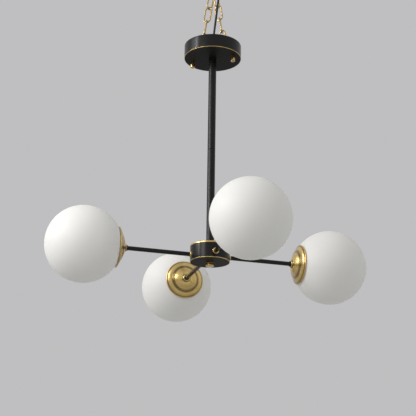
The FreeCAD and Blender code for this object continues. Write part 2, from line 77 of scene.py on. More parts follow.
def joint_place(name):
    """Where a joint of the frame sits, in metres."""
    return Vector(next(j["pos_m"] for j in frame["joints"] if j["name"] == name))


# ---- sizes that the frame's own pieces have; those of round pieces are radii ----
ARM_WAYS = {"right": (1, 0), "back": (0, 1), "left": (-1, 0), "front": (0, -1)}
NIPPLE_HOLE = 5.0
DRUM, DRUM_INSIDE, LID_EDGE, THIN_RING = 39.5, 37.5, 3.9, 1.6
CANOPY, CANOPY_INSIDE = 59.5, 58.3
ROD, ROD_LENGTH = 8.0, 205.0
GLOBE_MOUTH, GLOBE_LIP = 17.0, 9.0
CHAIN_PLANE = math.radians(-38.0)
CHAIN_HALF_SPAN, STUD_OFFSET = 25.0, 45.0
LINK_TWISTS = {"left": (12, -18, -4, 22, -12), "right": (12, -18, -14, 14, -18)}
LINK_GAPS = (0.6, 0.85, 0.4, 0.35, 0.4, 0.3)
LINK_LENGTH, LINK_BEND, LINK_WIRE = 34.85, 7.3, 1.7
TOP_LINK_SPREAD, EYE_RING = 2.3, 5.3
HOOK_WIRE, HOOK_BOWL, HOOK_NECK, HOOK_DROP, HOOK_TIP_DEG = 2.25, 11.25, 5.0, 45.0, 155.0
CORD_FOOT, CORD_HEAD, CORD_ASIDE, CORD_TOP = 2.6, 24.8, -13.0, -20.3
CORD_BORDERS = (-56.5, -89.5, -119.8, -150.3, -180.8)

# ---- places that come from the frame ----
ARM_LEVEL = joint_place("globe_right_turn").z / MM
ARM_REACH = joint_place("globe_right_turn").x / MM
CANOPY_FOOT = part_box("canopy_shell")[0].z / MM
CANOPY_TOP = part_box("canopy_shell")[1].z / MM
HUB_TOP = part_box("hub_lid")[1].z / MM
HUB_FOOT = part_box("hub_trim_ring")[0].z / MM
ROD_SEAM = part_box("upper_rod")[0].z / MM
EYE_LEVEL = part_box("chain_eyes")[1].z / MM - LINK_WIRE


# ---- outlines ----

def arc_through(first, middle, last, steps):
    """Points on the circle through three points, from the first to the last."""
    (ax, ay), (bx, by), (cx, cy) = first, middle, last
    d = 2 * (ax * (by - cy) + bx * (cy - ay) + cx * (ay - by))
    ux = ((ax * ax + ay * ay) * (by - cy) + (bx * bx + by * by) * (cy - ay)
          + (cx * cx + cy * cy) * (ay - by)) / d
    uy = ((ax * ax + ay * ay) * (cx - bx) + (bx * bx + by * by) * (ax - cx)
          + (cx * cx + cy * cy) * (bx - ax)) / d
    radius = math.hypot(ax - ux, ay - uy)
    start = math.atan2(ay - uy, ax - ux)
    turn = math.atan2(cy - uy, cx - ux) - start
    side = (bx - ax) * (cy - ay) - (by - ay) * (cx - ax)
    if side > 0 and turn < 0:
        turn += 2 * math.pi
    if side < 0 and turn > 0:
        turn -= 2 * math.pi
    return [(ux + radius * math.cos(start + turn * i / steps),
             uy + radius * math.sin(start + turn * i / steps)) for i in range(steps + 1)]


def eased(corners, closed=False, steps=5):
    """An outline with its corners rounded. Each corner is (along, radius, ease)."""
    count = len(corners)
    points = []
    for i, corner in enumerate(corners):
        ease = corner[2] if len(corner) > 2 else 0.0
        here = Vector(corner[:2])
        if ease <= 0 or (not closed and i in (0, count - 1)):
            points.append(tuple(here))
            continue
        before = Vector(corners[i - 1][:2]) - here
        after = Vector(corners[(i + 1) % count][:2]) - here
        setback = min(ease, 0.48 * before.length, 0.48 * after.length)
        a, b = here + before.normalized() * setback, here + after.normalized() * setback
        for k in range(steps + 1):
            t = k / steps
            points.append(tuple((1 - t) ** 2 * a + 2 * t * (1 - t) * here + t * t * b))
    return points


def divided(points, closed, longest):
    """The same outline with no step longer than that, so that it shades and colours evenly."""
    out = []
    for a, b in zip(points, points[1:] + (points[:1] if closed else [])):
        pieces = max(1, math.ceil(math.hypot(b[0] - a[0], b[1] - a[1]) / longest))
        out += [(a[0] + (b[0] - a[0]) * k / pieces, a[1] + (b[1] - a[1]) * k / pieces)
                for k in range(pieces)]
    return out if closed else out + [points[-1]]


# ---- meshes ----

def new_piece(name, vertices, faces, lathe):
    """A smooth-shaded mesh object from points in millimetres. lathe holds each point's own place
    along and out from its turning axis, which the materials' tool marks follow, and how deep it
    lies in a hollow, where the brass gets patina and painted shade."""
    mesh = bpy.data.meshes.new(name)
    mesh.from_pydata([tuple(c * MM for c in v) for v in vertices], [], faces)
    mesh.update()
    marks = mesh.attributes.new("turned", "FLOAT_VECTOR", "POINT")
    marks.data.foreach_set("vector", [c for a, r, h in lathe for c in (a * MM, r * MM, h)])
    work = bmesh.new()
    work.from_mesh(mesh)
    bmesh.ops.recalc_face_normals(work, faces=work.faces)
    work.to_mesh(mesh)
    work.free()
    mesh.polygons.foreach_set("use_smooth", [True] * len(mesh.polygons))
    mesh.set_sharp_from_angle(angle=math.radians(38.0))
    piece = bpy.data.objects.new(name, mesh)
    bpy.context.scene.collection.objects.link(piece)
    return piece


def in_hollow(place, hollows):
    """How deep a place of an outline lies in the piece's hollows, each (along, radius, reach)."""
    depths = [1 - math.hypot(place[0] - a, place[1] - r) / reach for a, r, reach in hollows]
    return max([0.0, *depths])


def turned(name, outline, centre=(0, 0, 0), axis=(0, 0, 1), closed=False, sides=96, longest=6.0,
           hollows=()):
    """A lathe-turned piece. The outline is (along, radius) steps from centre along axis; an open
    outline starts and ends on the axis, and a closed one is the section of a ring or a tube."""
    centre, along = Vector(centre), Vector(axis).normalized()
    out = along.orthogonal().normalized()
    across = along.cross(out)
    vertices, lathe, rows = [], [], []
    for a, r in divided([tuple(p) for p in outline], closed, longest):
        on_axis = r < 1e-6
        places = 1 if on_axis else sides
        rows.append([len(vertices) + (0 if on_axis else k) for k in range(sides)])
        for k in range(places):
            angle = 2 * math.pi * k / sides
            ring = (out * math.cos(angle) + across * math.sin(angle)) * r
            vertices.append(centre + along * a + ring)
        lathe += [(a, r, in_hollow((a, r), hollows))] * places
    faces = []
    for low, high in zip(rows, rows[1:] + (rows[:1] if closed else [])):
        for k in range(sides):
            n = (k + 1) % sides
            corners = [low[k], low[n], high[n], high[k]]
            kept = [c for i, c in enumerate(corners) if c != corners[i - 1]]
            if len(set(kept)) >= 3:
                faces.append(kept)
    return new_piece(name, vertices, faces, lathe)


def wire(name, path, radii, sides=20, closed=False):
    """A round wire along a path, with its own radius at each point. Open ends close to a dome."""
    path = [Vector(p) for p in path]
    count = len(path)
    rings, out = [], None
    for i, (point, radius) in enumerate(zip(path, radii)):
        before = path[i - 1] if closed or i else point
        after = path[(i + 1) % count] if closed or i < count - 1 else point
        tangent = (after - before).normalized()
        out = tangent.orthogonal() if out is None else out - tangent * out.dot(tangent)
        out.normalize()
        rings.append((point, tangent, out.copy(), radius))

    def dome(ring, way):
        """Rings that close in beyond an end of the wire."""
        point, tangent, out, radius = ring
        return [(point + tangent * (way * radius * 0.5 * math.sin(t)), tangent, out,
                 radius * math.cos(t)) for t in np.linspace(0.2, math.pi / 2, 5)[:-1]]

    if not closed:
        rings = dome(rings[0], -1)[::-1] + rings + dome(rings[-1], 1)
    vertices, lathe, faces = [], [], []
    run = 0.0
    for i, (point, tangent, out, radius) in enumerate(rings):
        run += (point - rings[i - 1][0]).length if i else 0.0
        across = tangent.cross(out)
        for k in range(sides):
            angle = 2 * math.pi * k / sides
            vertices.append(point + (out * math.cos(angle) + across * math.sin(angle)) * radius)
        lathe += [(run, radius, 0.0)] * sides
    total = len(rings)
    for i in range(total if closed else total - 1):
        j = (i + 1) % total
        shift = 0
        if closed and j == 0:
            (_, tangent, first_out, _), last_out = rings[0], rings[-1][2]
            turn = math.atan2(last_out.cross(first_out).dot(tangent), last_out.dot(first_out))
            shift = round(-turn / (2 * math.pi) * sides)
        for k in range(sides):
            n = (k + 1) % sides
            faces.append([i * sides + k, i * sides + n,
                          j * sides + (n + shift) % sides, j * sides + (k + shift) % sides])
    if not closed:
        faces += [list(range(sides))[::-1], [(total - 1) * sides + k for k in range(sides)]]
    return new_piece(name, vertices, faces, lathe)


def drilled(piece, holes):
    """Cuts round upright holes, each (x, y, radius, low, high), right through a piece."""
    for x, y, radius, low, high in holes:
        drill = turned("drill", [(low, 0), (low, radius), (high, radius), (high, 0)],
                       centre=(x, y, 0), sides=40)
        cut = piece.modifiers.new("hole", "BOOLEAN")
        cut.operation, cut.solver, cut.object = "DIFFERENCE", "EXACT", drill
        bpy.context.view_layer.update()
        shown = piece.evaluated_get(bpy.context.evaluated_depsgraph_get())
        mesh = bpy.data.meshes.new_from_object(shown)
        piece.modifiers.clear()
        old, piece.data = piece.data, mesh
        drill_mesh = drill.data
        bpy.data.objects.remove(drill)
        for spent in (old, drill_mesh):
            bpy.data.meshes.remove(spent)
    return piece


def chain_plane(x, y, z=0.0):
    """From the chains' own plane (x along the crossbar, y across it) to the frame's axes."""
    c, s = math.cos(CHAIN_PLANE), math.sin(CHAIN_PLANE)
    return Vector((x * c - y * s, x * s + y * c, z))


def settle(piece, finish, body, *nodes):
    """Gives a piece its finish, hides the frame's nodes that it stands for, and lets it move with
    its body.
    """
    piece.data.materials.clear()
    piece.data.materials.append(finish_of(finish))
    if nodes:
        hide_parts(*nodes)
    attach(piece, body)


# ---- node trees ----

class Nodes:
    """Short ways to add nodes to a tree. An input is a number, a colour or another's output."""

    def __init__(self, tree):
        self.tree = tree

    def feed(self, value, socket):
        if isinstance(value, bpy.types.NodeSocket):
            self.tree.links.new(value, socket)
        elif isinstance(value, (int, float)):
            socket.default_value = value
        else:
            socket.default_value = (*value[:3], 1.0)

    def add(self, kind, output=0, inputs=None, **settings):
        """Adds a node, feeds its inputs by name or number, and gives one of its outputs."""
        node = self.tree.nodes.new("ShaderNode" + kind)
        for label, value in settings.items():
            setattr(node, label, value)
        for label, value in (inputs or {}).items():
            self.feed(value, node.inputs[label])
        return node.outputs[output]

    def math(self, operation, a, b, clamp=False):
        return self.add("Math", 0, {0: a, 1: b}, operation=operation, use_clamp=clamp)

    def noise(self, vector, scale, detail=3.0, roughness=0.55):
        """A noise texture on the given vector, as a value around one half."""
        return self.add("TexNoise", "Fac", {"Vector": vector, "Scale": scale, "Detail": detail,
                                            "Roughness": roughness})

    def spread(self, value, low, high, to_low=0.0, to_high=1.0):
        """Stretches a value's range from low..high to another."""
        return self.add("MapRange", "Result", {"Value": value, "From Min": low, "From Max": high,
                                               "To Min": to_low, "To Max": to_high})

    def along(self, axis, vector):
        """A vector's share along X, Y or Z."""
        return self.add("SeparateXYZ", axis, {0: vector})


class Effect(Nodes):
    """A shader effect that several finishes share: a node group with named values in and out."""

    def __init__(self, name, **inputs):
        super().__init__(bpy.data.node_groups.new(name, "ShaderNodeTree"))
        for label, default in inputs.items():
            socket = self.tree.interface.new_socket(
                name=label.replace("_", " "), in_out="INPUT", socket_type="NodeSocketFloat")
            socket.default_value = default
        self.given = self.tree.nodes.new("NodeGroupInput").outputs
        self.place = self.add("TexCoord", "Object")

    def gives(self, **outputs):
        """Names the effect's outputs and closes it."""
        for label in outputs:
            self.tree.interface.new_socket(name=label, in_out="OUTPUT",
                                           socket_type="NodeSocketFloat")
        result = self.tree.nodes.new("NodeGroupOutput")
        for label, value in outputs.items():
            self.feed(value, result.inputs[label])
        return self.tree


# ---- shader effects that several finishes share ----

def tool_marks():
    """Fine rings that a lathe or spinning tool leaves: they follow a piece's own turning axis, with
    some drift round it so that no ring is quite even."""
    effect = Effect("Tool marks", Rings_per_metre=1400.0, Drift=0.25)
    turning = effect.add("Attribute", "Vector", attribute_name="turned")
    drift = effect.noise(effect.place, 35.0, 2.0)
    swing = effect.math("MULTIPLY", effect.math("SUBTRACT", drift, 0.5), 0.004)
    swing = effect.math("MULTIPLY", swing, effect.given["Drift"])
    rings = effect.add("CombineXYZ", 0, {
        "X": effect.math("ADD", effect.along("X", turning), swing),
        "Y": effect.math("ADD", effect.along("Y", turning), swing),
        "Z": effect.math("MULTIPLY", drift, 0.0012)})
    pitch = effect.given["Rings per metre"]
    fine = effect.noise(rings, pitch, 2.0, 0.7)
    broad = effect.noise(rings, effect.math("MULTIPLY", pitch, 0.16), 2.0)
    return effect.gives(Mask=effect.spread(fine, 0.28, 0.72), Broad=effect.spread(broad, 0.3, 0.7))


def tarnish_and_painted_shade():
    """Painted shade on brass, with some patina: darker in a piece's hollows, where patina and shade
    gather, and on its lower side, where shade falls.
    """
    effect = Effect("Tarnish", Below=0.6)
    turning = effect.add("Attribute", "Vector", attribute_name="turned")
    broken = effect.noise(effect.place, 70.0)
    # Patina and painted shade: darker the deeper a place lies in a hollow.
    depth = effect.math("MULTIPLY", effect.along("Z", turning),
                        effect.spread(broken, 0.25, 0.75, 0.75, 1.25))
    # Painted shade: darker where the surface faces down.
    facing = effect.along("Z", effect.add("TexCoord", "Normal"))
    low = effect.math("MULTIPLY", effect.spread(facing, 0.0, -0.75),
                      effect.spread(broken, 0.25, 0.75, 0.8, 1.2))
    return effect.gives(Hollow=effect.math("MULTIPLY", depth, 1.0, clamp=True),
                        Under=effect.math("MULTIPLY", low, effect.given["Below"], clamp=True))


def patina():
    """Cloudy change over a surface, with a finer speckle in it."""
    effect = Effect("Patina", Cloud_scale=45.0, Speckle_scale=900.0)
    cloud = effect.noise(effect.place, effect.given["Cloud scale"], 4.0, 0.6)
    speckle = effect.noise(effect.place, effect.given["Speckle scale"], 2.0, 0.6)
    return effect.gives(Cloud=effect.spread(cloud, 0.32, 0.68),
                        Speckle=effect.spread(speckle, 0.3, 0.7))


def rubbed_edges():
    """Where an outer edge has rubbed: a mask from the surface's own pointedness, broken up."""
    effect = Effect("Rubbed edges", Amount=1.0)
    broken = effect.spread(effect.noise(effect.place, 260.0), 0.35, 0.65)
    edge = effect.spread(effect.add("NewGeometry", "Pointiness"), 0.52, 0.62)
    mask = effect.math("MULTIPLY", edge, broken)
    return effect.gives(Mask=effect.math("MULTIPLY", mask, effect.given["Amount"], clamp=True))


EFFECTS = {"Tool marks": tool_marks, "Tarnish": tarnish_and_painted_shade, "Patina": patina,
           "Rubbed edges": rubbed_edges}


# ---- finishes ----

class Finish(Nodes):
    """A new material with its shader's inputs at hand and short ways to add effects to it."""

    def __init__(self, name, **values):
        self.material = bpy.data.materials.new(name)
        self.material.use_nodes = True
        super().__init__(self.material.node_tree)
        self.shader = self.tree.nodes["Principled BSDF"].inputs
        for label, value in values.items():
            self.shader[label.replace("_", " ")].default_value = value

    def effect(self, name, **values):
        """Places a shared effect, which is built when it is first asked for."""
        node = self.tree.nodes.new("ShaderNodeGroup")
        node.node_tree = bpy.data.node_groups.get(name) or EFFECTS[name]()
        for label, value in values.items():
            node.inputs[label.replace("_", " ")].default_value = value
        return node.outputs

    def between(self, mask, low, high):
        """A colour that runs from low to high as the mask rises."""
        return self.add("Mix", 2, {0: mask, 6: low, 7: high}, data_type="RGBA")

    def bump(self, heights, strength, depth_mm):
        """Raises the surface by the sum of (output, share) heights."""
        total = 0.0
        for output, share in heights:
            total = self.math("ADD", self.math("MULTIPLY", output, share), total)
        self.feed(self.add("Bump", "Normal", {"Strength": strength, "Distance": depth_mm * MM,
                                              "Height": total}), self.shader["Normal"])

    def done(self, base, rough):
        """Feeds the shader's colour and roughness, and gives the material."""
        self.feed(base, self.shader["Base Color"])
        self.feed(rough, self.shader["Roughness"])
        return self.material


def looks():
    return bpy.context.scene.chandelier


def tint(colour, share):
    """A lighter or darker version of a colour."""
    return tuple(min(1.0, c * share) for c in colour[:3])


def black_lacquer(name, rings=900.0, ior=1.36, matt=0.0):
    """Satin black-bronze lacquer over turned or drawn metal, or its matt coat on undersides."""
    look = looks().black
    finish = Finish(name, IOR=ior)
    marks = finish.effect("Tool marks", Rings_per_metre=rings, Drift=0.6)
    cloud = finish.effect("Patina", Cloud_scale=28.0, Speckle_scale=1400.0)
    rubbed = finish.effect("Rubbed edges", Amount=0.35)
    base = finish.between(cloud["Cloud"], tint(look.colour, 0.82), tint(look.colour, 1.25))
    base = finish.between(rubbed["Mask"], base, tint(look.colour, 3.2))
    level = look.roughness + matt
    rough = finish.math("ADD", finish.spread(marks["Mask"], 0, 1, level - 0.02, level + 0.02),
                        finish.spread(cloud["Cloud"], 0, 1, -0.02, 0.02))
    finish.bump([(marks["Mask"], 0.3), (cloud["Cloud"], 0.7)], 0.03, 0.03)
    return finish.done(base, rough)


def spun_brass(name, rings, gloss):
    """Brushed brass with the rings of its spinning or turning, with patina and painted shade in the
    hollows and painted shade on its lower side.
    """
    look = looks().brass
    finish = Finish(name, Metallic=1.0, Anisotropic=0.35, Coat_Weight=0.9, Coat_Roughness=0.16)
    tarnish_and_shade = finish.effect("Tarnish")
    marks = finish.effect("Tool marks", Rings_per_metre=rings, Drift=0.35)
    cloud = finish.effect("Patina", Cloud_scale=38.0, Speckle_scale=1100.0)
    rubbed = finish.effect("Rubbed edges", Amount=0.8)
    base = finish.between(marks["Mask"], tint(look.colour, 0.80), tint(look.colour, 1.16))
    base = finish.between(finish.math("MULTIPLY", marks["Broad"], 0.5), base,
                          tint(look.colour, 1.35))
    base = finish.between(finish.math("MULTIPLY", cloud["Cloud"], 0.35), base, look.shade)
    # Painted shade: the shade colour on the lower side.
    base = finish.between(tarnish_and_shade["Under"], base, look.shade)
    # Patina and painted shade: a darker shade colour in the hollows.
    base = finish.between(tarnish_and_shade["Hollow"], base, tint(look.shade, 0.45))
    base = finish.between(rubbed["Mask"], base, tint(look.colour, 1.5))
    level = look.roughness - gloss
    rough = finish.math("ADD", finish.spread(marks["Mask"], 0, 1, level + 0.07, level - 0.06),
                        finish.spread(cloud["Cloud"], 0, 1, -0.03, 0.06))
    finish.bump([(marks["Mask"], 0.7), (marks["Broad"], 0.3)], 0.35, 0.05)
    return finish.done(base, rough)


def aged_brass(name):
    """Brass wire that has been handled: bright on the rounds, with a browner speckle."""
    look = looks().chain
    finish = Finish(name, Metallic=1.0)
    cloud = finish.effect("Patina", Cloud_scale=120.0, Speckle_scale=1600.0)
    rubbed = finish.effect("Rubbed edges", Amount=1.0)
    base = finish.between(cloud["Cloud"], tint(look.colour, 0.86), tint(look.colour, 1.12))
    base = finish.between(finish.math("MULTIPLY", cloud["Speckle"], 0.3), base, look.shade)
    base = finish.between(rubbed["Mask"], base, tint(look.colour, 1.3))
    finish.bump([(cloud["Speckle"], 0.5), (cloud["Cloud"], 0.5)], 0.25, 0.06)
    return finish.done(base, finish.spread(cloud["Cloud"], 0, 1, look.roughness - 0.06,
                                           look.roughness + 0.06))


def opal_glass(name):
    """Etched white glass: even, soft and slightly deep, with a faint haze in its sheen."""
    look = looks().globe
    finish = Finish(name, IOR=1.45, Subsurface_Weight=look.depth, Subsurface_Scale=0.012,
                    Subsurface_Radius=(1.0, 0.97, 0.92))
    cloud = finish.effect("Patina", Cloud_scale=16.0, Speckle_scale=700.0)
    finish.bump([(cloud["Speckle"], 0.7), (cloud["Cloud"], 0.3)], 0.06, 0.04)
    return finish.done(finish.between(cloud["Cloud"], tint(look.colour, 0.992), look.colour),
                       finish.spread(cloud["Speckle"], 0, 1, look.roughness - 0.04,
                                     look.roughness + 0.04))


def moulded(name, colour, roughness, speckle=1200.0, depth_mm=0.03):
    """Moulded plastic, rubber or ceramic with a fine surface grain."""
    finish = Finish(name, IOR=1.48)
    cloud = finish.effect("Patina", Cloud_scale=60.0, Speckle_scale=speckle)
    finish.bump([(cloud["Speckle"], 1.0)], 0.3, depth_mm)
    return finish.done(finish.between(cloud["Cloud"], tint(colour, 0.9), tint(colour, 1.1)),
                       finish.spread(cloud["Speckle"], 0, 1, roughness - 0.06, roughness + 0.06))


def cord_sheath(name):
    """The cord's smooth black sheath."""
    return moulded(name, looks().cord.colour, 0.40, 2600.0, 0.02)


def zinc_steel(name):
    """Bright zinc plate with its cloudy, slightly warm grey."""
    finish = Finish(name, Metallic=1.0)
    cloud = finish.effect("Patina", Cloud_scale=150.0, Speckle_scale=1500.0)
    rubbed = finish.effect("Rubbed edges", Amount=0.7)
    base = finish.between(cloud["Cloud"], (0.36, 0.37, 0.38), (0.56, 0.56, 0.54))
    base = finish.between(rubbed["Mask"], base, (0.70, 0.70, 0.70))
    finish.bump([(cloud["Speckle"], 1.0)], 0.25, 0.03)
    return finish.done(base, finish.spread(cloud["Speckle"], 0, 1, 0.28, 0.42))


# Each kind's material name and slot, then what makes it, with its own values.
FINISHES = {
    "black": ("Satin black lacquer", "black_metal", black_lacquer),
    "black tube": ("Satin black lacquer on tube", "black_metal", black_lacquer, 500.0),
    "black underside": ("Matt black lacquer", "black_metal", black_lacquer, 700.0, 1.2, 0.25),
    "cup": ("Spun brass", "brushed_brass", spun_brass, 1500.0, 0.0),
    "trim": ("Turned brass", "brushed_brass", spun_brass, 2200.0, 0.06),
    "chain": ("Aged brass wire", "chain_brass", aged_brass),
    "opal": ("Opal glass", "opal_glass", opal_glass),
    "frosted": ("Frosted lamp glass", "lamp_glass", moulded, (0.86, 0.86, 0.84), 0.42, 2000.0, 0.01),
    "steel": ("Zinc-plated steel", "steel", zinc_steel),
    "black plastic": ("Black moulding", "black_plastic", moulded, (0.022, 0.022, 0.023), 0.42),
    "white plastic": ("Pale moulding", "white_plastic", moulded, (0.74, 0.73, 0.69), 0.38),
    "rubber": ("Black rubber", "black_rubber", moulded, (0.020, 0.020, 0.020), 0.62, 1600.0, 0.05),
    "cord": ("Black cord sheath", "black_cord", cord_sheath),
}


def finish_of(kind):
    """The one material of each kind, made when it is first asked for."""
    name, _, make, *values = FINISHES[kind]
    return bpy.data.materials.get(name) or make(name, *values)


# ---- settings that a user would change ----

def colour_setting(name, description, default):
    return FloatVectorProperty(name=name, description=description, default=default,
                               subtype="COLOR", size=3, min=0.0, max=1.0)


def share_setting(name, description, default):
    return FloatProperty(name=name, description=description, default=default, min=0.0, max=1.0,
                         subtype="FACTOR")


def length_setting(name, description, default_mm):
    return FloatProperty(name=name, description=description, default=default_mm * MM, min=0.0,
                         subtype="DISTANCE", unit="LENGTH", precision=5)


def power_setting(name, description, default):
    return FloatProperty(name=name, description=description, default=default, min=0.0,
                         unit="POWER")


class ChandelierGlobeLook(bpy.types.PropertyGroup):
    colour: colour_setting("Glass colour", "The opal glass, as it looks in white light",
                           (0.87, 0.868, 0.850))
    roughness: share_setting("Roughness", "How matt the etched glass is", 0.5)
    depth: share_setting("Depth", "How much light spreads inside the glass", 0.12)
    radius: length_setting("Globe radius", "Outer radius of a glass globe", 75.0)
    wall: length_setting("Glass wall", "Thickness of the glass", 2.0)


class ChandelierBrassLook(bpy.types.PropertyGroup):
    colour: colour_setting("Brass colour", "The brushed brass of cups, rings and knobs",
                           (0.94, 0.61, 0.215))
    # The brass shade also serves as painted shade on lower sides and, darker, in hollows.
    shade: colour_setting("Brass shade", "The browner brass of its clouds and hollows",
                          (0.29, 0.17, 0.05))
    roughness: share_setting("Roughness", "How matt the brushed brass is", 0.28)


class ChandelierChainLook(bpy.types.PropertyGroup):
    colour: colour_setting("Chain colour", "The brass of the chains, their eyes and the hook",
                           (0.72, 0.54, 0.26))
    shade: colour_setting("Chain shade", "The browner brass of its speckle",
                          (0.28, 0.16, 0.05))
    roughness: share_setting("Roughness", "How matt the chain is", 0.3)


class ChandelierBlackLook(bpy.types.PropertyGroup):
    colour: colour_setting("Lacquer colour", "The black-bronze lacquer of rod, arms and drums",
                           (0.0075, 0.0070, 0.0068))
    roughness: share_setting("Roughness", "How matt the lacquer is", 0.27)


class ChandelierCordLook(bpy.types.PropertyGroup):
    colour: colour_setting("Cord colour", "The cord's sheath", (0.012, 0.012, 0.013))
    radius: length_setting("Cord radius", "Half of the cord's diameter", 2.25)


class ChandelierStageLook(bpy.types.PropertyGroup):
    backdrop: colour_setting("Backdrop colour", "What the camera sees behind the light",
                             (0.52, 0.52, 0.53))
    floor: colour_setting("Floor colour", "The plain floor", (0.70, 0.70, 0.69))
    drop: length_setting("Floor below the light", "How far the floor lies under the ceiling",
                         2700.0)
    room: FloatProperty(name="Room light", description="Even light from all round",
                        default=0.58, min=0.0)
    pane: power_setting("Window pane", "The narrow bright pane at the left", 15.0)
    glow: power_setting("Window glow", "The wide soft panel close by at the left", 6.2)
    fill: power_setting("Front light", "The soft panel left of the camera", 4.4)


class ChandelierSettings(bpy.types.PropertyGroup):
    globe: PointerProperty(type=ChandelierGlobeLook)
    brass: PointerProperty(type=ChandelierBrassLook)
    chain: PointerProperty(type=ChandelierChainLook)
    black: PointerProperty(type=ChandelierBlackLook)
    cord: PointerProperty(type=ChandelierCordLook)
    stage: PointerProperty(type=ChandelierStageLook)


# ---- pieces on the arms ----

def from_globe(outline):
    """(distance from the globe's centre towards the hub, radius) steps to places on the arm."""
    return [(ARM_REACH - s, r) for s, r in outline]


def arm_lathe(name, way, outline, **how):
    """A piece turned about an arm's own axis, from (distance from the rod's axis, radius)."""
    return turned("%s_%s" % (name, way), outline, (0, 0, ARM_LEVEL), (*ARM_WAYS[way], 0), **how)


def globe_outline(radius, wall):
    """A globe's section: outside, the lip that turns in at its mouth, and inside."""
    inner, lip = radius - wall, GLOBE_MOUTH + wall
    outside = [(radius * math.sin(t), radius * math.cos(t))
               for t in np.linspace(-math.pi / 2, math.acos(GLOBE_MOUTH / radius), 74)]
    outside[0] = (-radius, 0.0)
    rim, end = outside[-1][0], outside[-1][0] - GLOBE_LIP
    mouth = [(rim - 0.5, GLOBE_MOUTH - 0.05), (end + 0.8, GLOBE_MOUTH),
             (end + 0.2, GLOBE_MOUTH + 0.3), (end, GLOBE_MOUTH + wall / 2), (end + 0.2, lip - 0.3),
             (end + 0.8, lip)]
    inside = [(inner * math.sin(t), inner * math.cos(t))
              for t in np.linspace(math.acos(lip / inner) - 0.01, -math.pi / 2, 60)]
    inside[-1] = (-inner, 0.0)
    return outside + mouth + inside


class CHANDELIER_OT_globes(bpy.types.Operator):
    """Blow the four opal glass globes, each with its lip turned in at the mouth"""
    bl_idname = "chandelier.globes"
    bl_label = "Glass globes"

    def execute(self, context):
        look = context.scene.chandelier.globe
        outline = from_globe(globe_outline(look.radius / MM, look.wall / MM))
        for way in ARM_WAYS:
            piece = arm_lathe("glass_globe", way, outline, sides=128, longest=9.0)
            settle(piece, "opal", "globe_%s_body" % way, "globe_" + way)
        return {"FINISHED"}


class CHANDELIER_OT_lamps(bpy.types.Operator):
    """Make the four push-in capsule lamps, each a frosted envelope on a ceramic base"""
    bl_idname = "chandelier.lamps"
    bl_label = "Capsule lamps"

    def execute(self, context):
        envelope, envelope_foot, seam = 7.2, 57.5, 60.0
        tip = [(30 - envelope * math.sin(t), envelope * math.cos(t))
               for t in np.linspace(0, math.pi / 2, 12)]
        tip[-1] = (tip[-1][0], 0.0)
        base = eased([(73.2, 0), (73.2, 8.0, 0.6), (seam, 8.0, 0.5), (59.4, 7.4, 0.2),
                      (58.6, 7.4, 0.2), (envelope_foot, envelope, 0.5)])
        for way, (x, y) in ARM_WAYS.items():
            piece = arm_lathe("capsule_lamp", way, from_globe(base + tip), sides=48)
            settle(piece, "frosted", "lamp_%s_body" % way, "lamp_" + way)
            piece.data.materials.append(finish_of("white plastic"))
            for face in piece.data.polygons:
                reach = (face.center.x * x + face.center.y * y) / MM
                face.material_index = 1 if reach < ARM_REACH - seam else 0
        return {"FINISHED"}


# The cup's hollows, each (distance from the globe's centre, radius, reach), where its brass gets
# patina and painted shade.
CUP_HOLLOWS = ((67.9, 37.7, 1.9), (73.4, 27.2, 4.2), (74.9, 25.2, 1.6), (81.8, 8.3, 2.4))


def cup_outline():
    """The spun cup's section: collar, dome, step, hollow band and rolled rim, then its inside."""
    bead, rim, bore = (66.1, 39.0), 1.4, 3.9
    roll = [(bead[0] + rim * math.cos(t), bead[1] + rim * math.sin(t))
            for t in np.linspace(math.radians(-27), math.radians(180), 16)]
    collar = eased([(84.3, bore), (84.3, 6.7, 0.6), (83.2, 7.7, 0.5), (81.9, 7.9, 0.3),
                    (81.5, 8.4, 0.3), (81.2, 10.0)])
    dome = arc_through((81.2, 10.0), (79.2, 16.7), (75.2, 24.1), 14)
    step = eased([(75.2, 24.1), (74.8, 24.95, 0.25), (75.0, 25.5, 0.3), (74.5, 26.4, 0.35),
                  (73.6, 26.6, 0.3), (73.4, 27.2)], steps=4)
    band = arc_through((73.4, 27.2), (72.4, 28.9), (71.7, 31.0), 7)
    brim = arc_through((71.7, 31.0), (70.5, 34.6), (68.25, 37.3), 9)
    outside = collar + dome + step[1:] + band[1:] + brim[1:] + [(67.85, 37.6), (67.4, 37.7)]
    inside = [(65.6, 37.6), (66.4, 37.0)]
    inside += arc_through((66.6, 37.0), (69.0, 34.3), (70.6, 30.5), 8)
    inside += arc_through((70.6, 30.5), (71.3, 27.7), (72.9, 25.6), 6)[1:]
    inside += arc_through((73.7, 24.2), (78.0, 16.1), (80.5, 8.2), 10)
    return outside + roll + inside + [(80.5, bore)]


class CHANDELIER_OT_cups(bpy.types.Operator):
    """Spin the four stepped brass cups that hold the globes"""
    bl_idname = "chandelier.cups"
    bl_label = "Brass cups"

    def execute(self, context):
        hollows = [(ARM_REACH - s, r, reach) for s, r, reach in CUP_HOLLOWS]
        for way in ARM_WAYS:
            piece = arm_lathe("spun_cup", way, from_globe(cup_outline()), closed=True, sides=128,
                              longest=1.2, hollows=hollows)
            settle(piece, "cup", "fixture", "cup_" + way)
        return {"FINISHED"}


